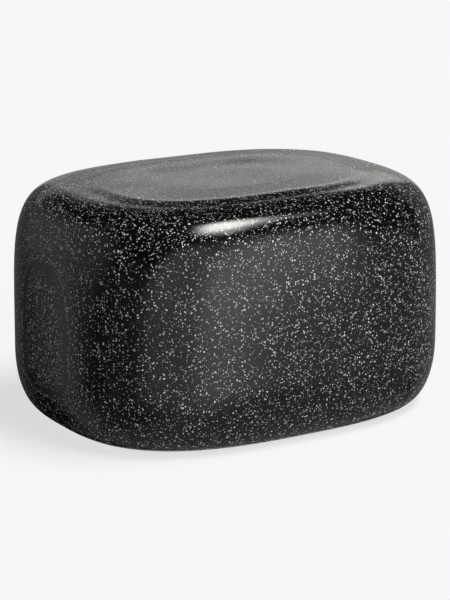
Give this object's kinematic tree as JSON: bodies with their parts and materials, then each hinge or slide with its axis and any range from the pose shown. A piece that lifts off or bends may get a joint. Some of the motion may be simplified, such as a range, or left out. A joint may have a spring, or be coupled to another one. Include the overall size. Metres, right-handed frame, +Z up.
{
  "type": "low side table",
  "caption": "Low pebble-shaped side table or stool: a glossy speckled moulded shell with a shallow dished top, a hidden timber core and screw levellers.",
  "frame": {"origin": "on the floor, under the middle of the table", "axes": "+X along the long side, to the right seen from the front; -Y towards the front; +Z up"},
  "size_m": [0.6, 0.478, 0.337],
  "materials": {
    "shell_gelcoat": "gloss black polyester gelcoat over glass fibre, densely speckled with cream, beige and white stone chips, polished",
    "plywood": "raw birch plywood",
    "timber": "sawn softwood, unfinished",
    "black_board": "plywood painted matt black",
    "zinc_steel": "bright zinc plated",
    "brass": "turned brass, unpolished",
    "black_nylon": "moulded black nylon",
    "rubber": "matt black rubber"
  },
  "bodies": {
    "table": {"moulded_shell": "shell_gelcoat", "top_core_panel": "plywood", "long_rib": "plywood", "cross_rib": "plywood", "base_panel": "black_board", "corner_block_front_left": "timber", "corner_block_front_right": "timber", "corner_block_rear_left": "timber", "corner_block_rear_right": "timber", "side_block_front": "timber", "side_block_rear": "timber", "side_block_left": "timber", "side_block_right": "timber", "block_screw_front_left": "zinc_steel", "block_screw_front_right": "zinc_steel", "block_screw_rear_left": "zinc_steel", "block_screw_rear_right": "zinc_steel", "block_screw_front": "zinc_steel", "block_screw_rear": "zinc_steel", "block_screw_left": "zinc_steel", "block_screw_right": "zinc_steel", "rib_screw_front": "zinc_steel", "rib_screw_rear": "zinc_steel", "rib_screw_left": "zinc_steel", "rib_screw_right": "zinc_steel", "insert_nut_front_left": "brass", "insert_nut_front_right": "brass", "insert_nut_rear_left": "brass", "insert_nut_rear_right": "brass"},
    "leveller_foot_front_left": {"leveller_pad_front_left": "black_nylon", "leveller_sole_front_left": "rubber"},
    "leveller_screw_front_left": {"leveller_stem_front_left": "zinc_steel"},
    "leveller_foot_front_right": {"leveller_pad_front_right": "black_nylon", "leveller_sole_front_right": "rubber"},
    "leveller_screw_front_right": {"leveller_stem_front_right": "zinc_steel"},
    "leveller_foot_rear_left": {"leveller_pad_rear_left": "black_nylon", "leveller_sole_rear_left": "rubber"},
    "leveller_screw_rear_left": {"leveller_stem_rear_left": "zinc_steel"},
    "leveller_foot_rear_right": {"leveller_pad_rear_right": "black_nylon", "leveller_sole_rear_right": "rubber"},
    "leveller_screw_rear_right": {"leveller_stem_rear_right": "zinc_steel"}
  },
  "joints": [
    {"name": "leveller_height_front_left", "type": "slide", "parent": "table", "child": "leveller_foot_front_left", "axis": [0, 0, -1], "range_m": [-0.0019, 0.012]},
    {"name": "leveller_turn_front_left", "type": "hinge", "parent": "leveller_foot_front_left", "child": "leveller_screw_front_left", "pos_m": [-0.15, -0.1, 0], "axis": [0, 0, -1], "range_deg": [-540, 3420]},
    {"name": "leveller_height_front_right", "type": "slide", "parent": "table", "child": "leveller_foot_front_right", "axis": [0, 0, -1], "range_m": [-0.0019, 0.012]},
    {"name": "leveller_turn_front_right", "type": "hinge", "parent": "leveller_foot_front_right", "child": "leveller_screw_front_right", "pos_m": [0.15, -0.1, 0], "axis": [0, 0, -1], "range_deg": [-540, 3420]},
    {"name": "leveller_height_rear_left", "type": "slide", "parent": "table", "child": "leveller_foot_rear_left", "axis": [0, 0, -1], "range_m": [-0.0019, 0.012]},
    {"name": "leveller_turn_rear_left", "type": "hinge", "parent": "leveller_foot_rear_left", "child": "leveller_screw_rear_left", "pos_m": [-0.15, 0.1, 0], "axis": [0, 0, -1], "range_deg": [-540, 3420]},
    {"name": "leveller_height_rear_right", "type": "slide", "parent": "table", "child": "leveller_foot_rear_right", "axis": [0, 0, -1], "range_m": [-0.0019, 0.012]},
    {"name": "leveller_turn_rear_right", "type": "hinge", "parent": "leveller_foot_rear_right", "child": "leveller_screw_rear_right", "pos_m": [0.15, 0.1, 0], "axis": [0, 0, -1], "range_deg": [-540, 3420]}
  ],
  "couplings": [
    {"joint": "leveller_height_front_left", "follows": "leveller_turn_front_left", "m_per_rad": 0.00019894},
    {"joint": "leveller_height_front_right", "follows": "leveller_turn_front_right", "m_per_rad": 0.00019894},
    {"joint": "leveller_height_rear_left", "follows": "leveller_turn_rear_left", "m_per_rad": 0.00019894},
    {"joint": "leveller_height_rear_right", "follows": "leveller_turn_rear_right", "m_per_rad": 0.00019894}
  ]
}
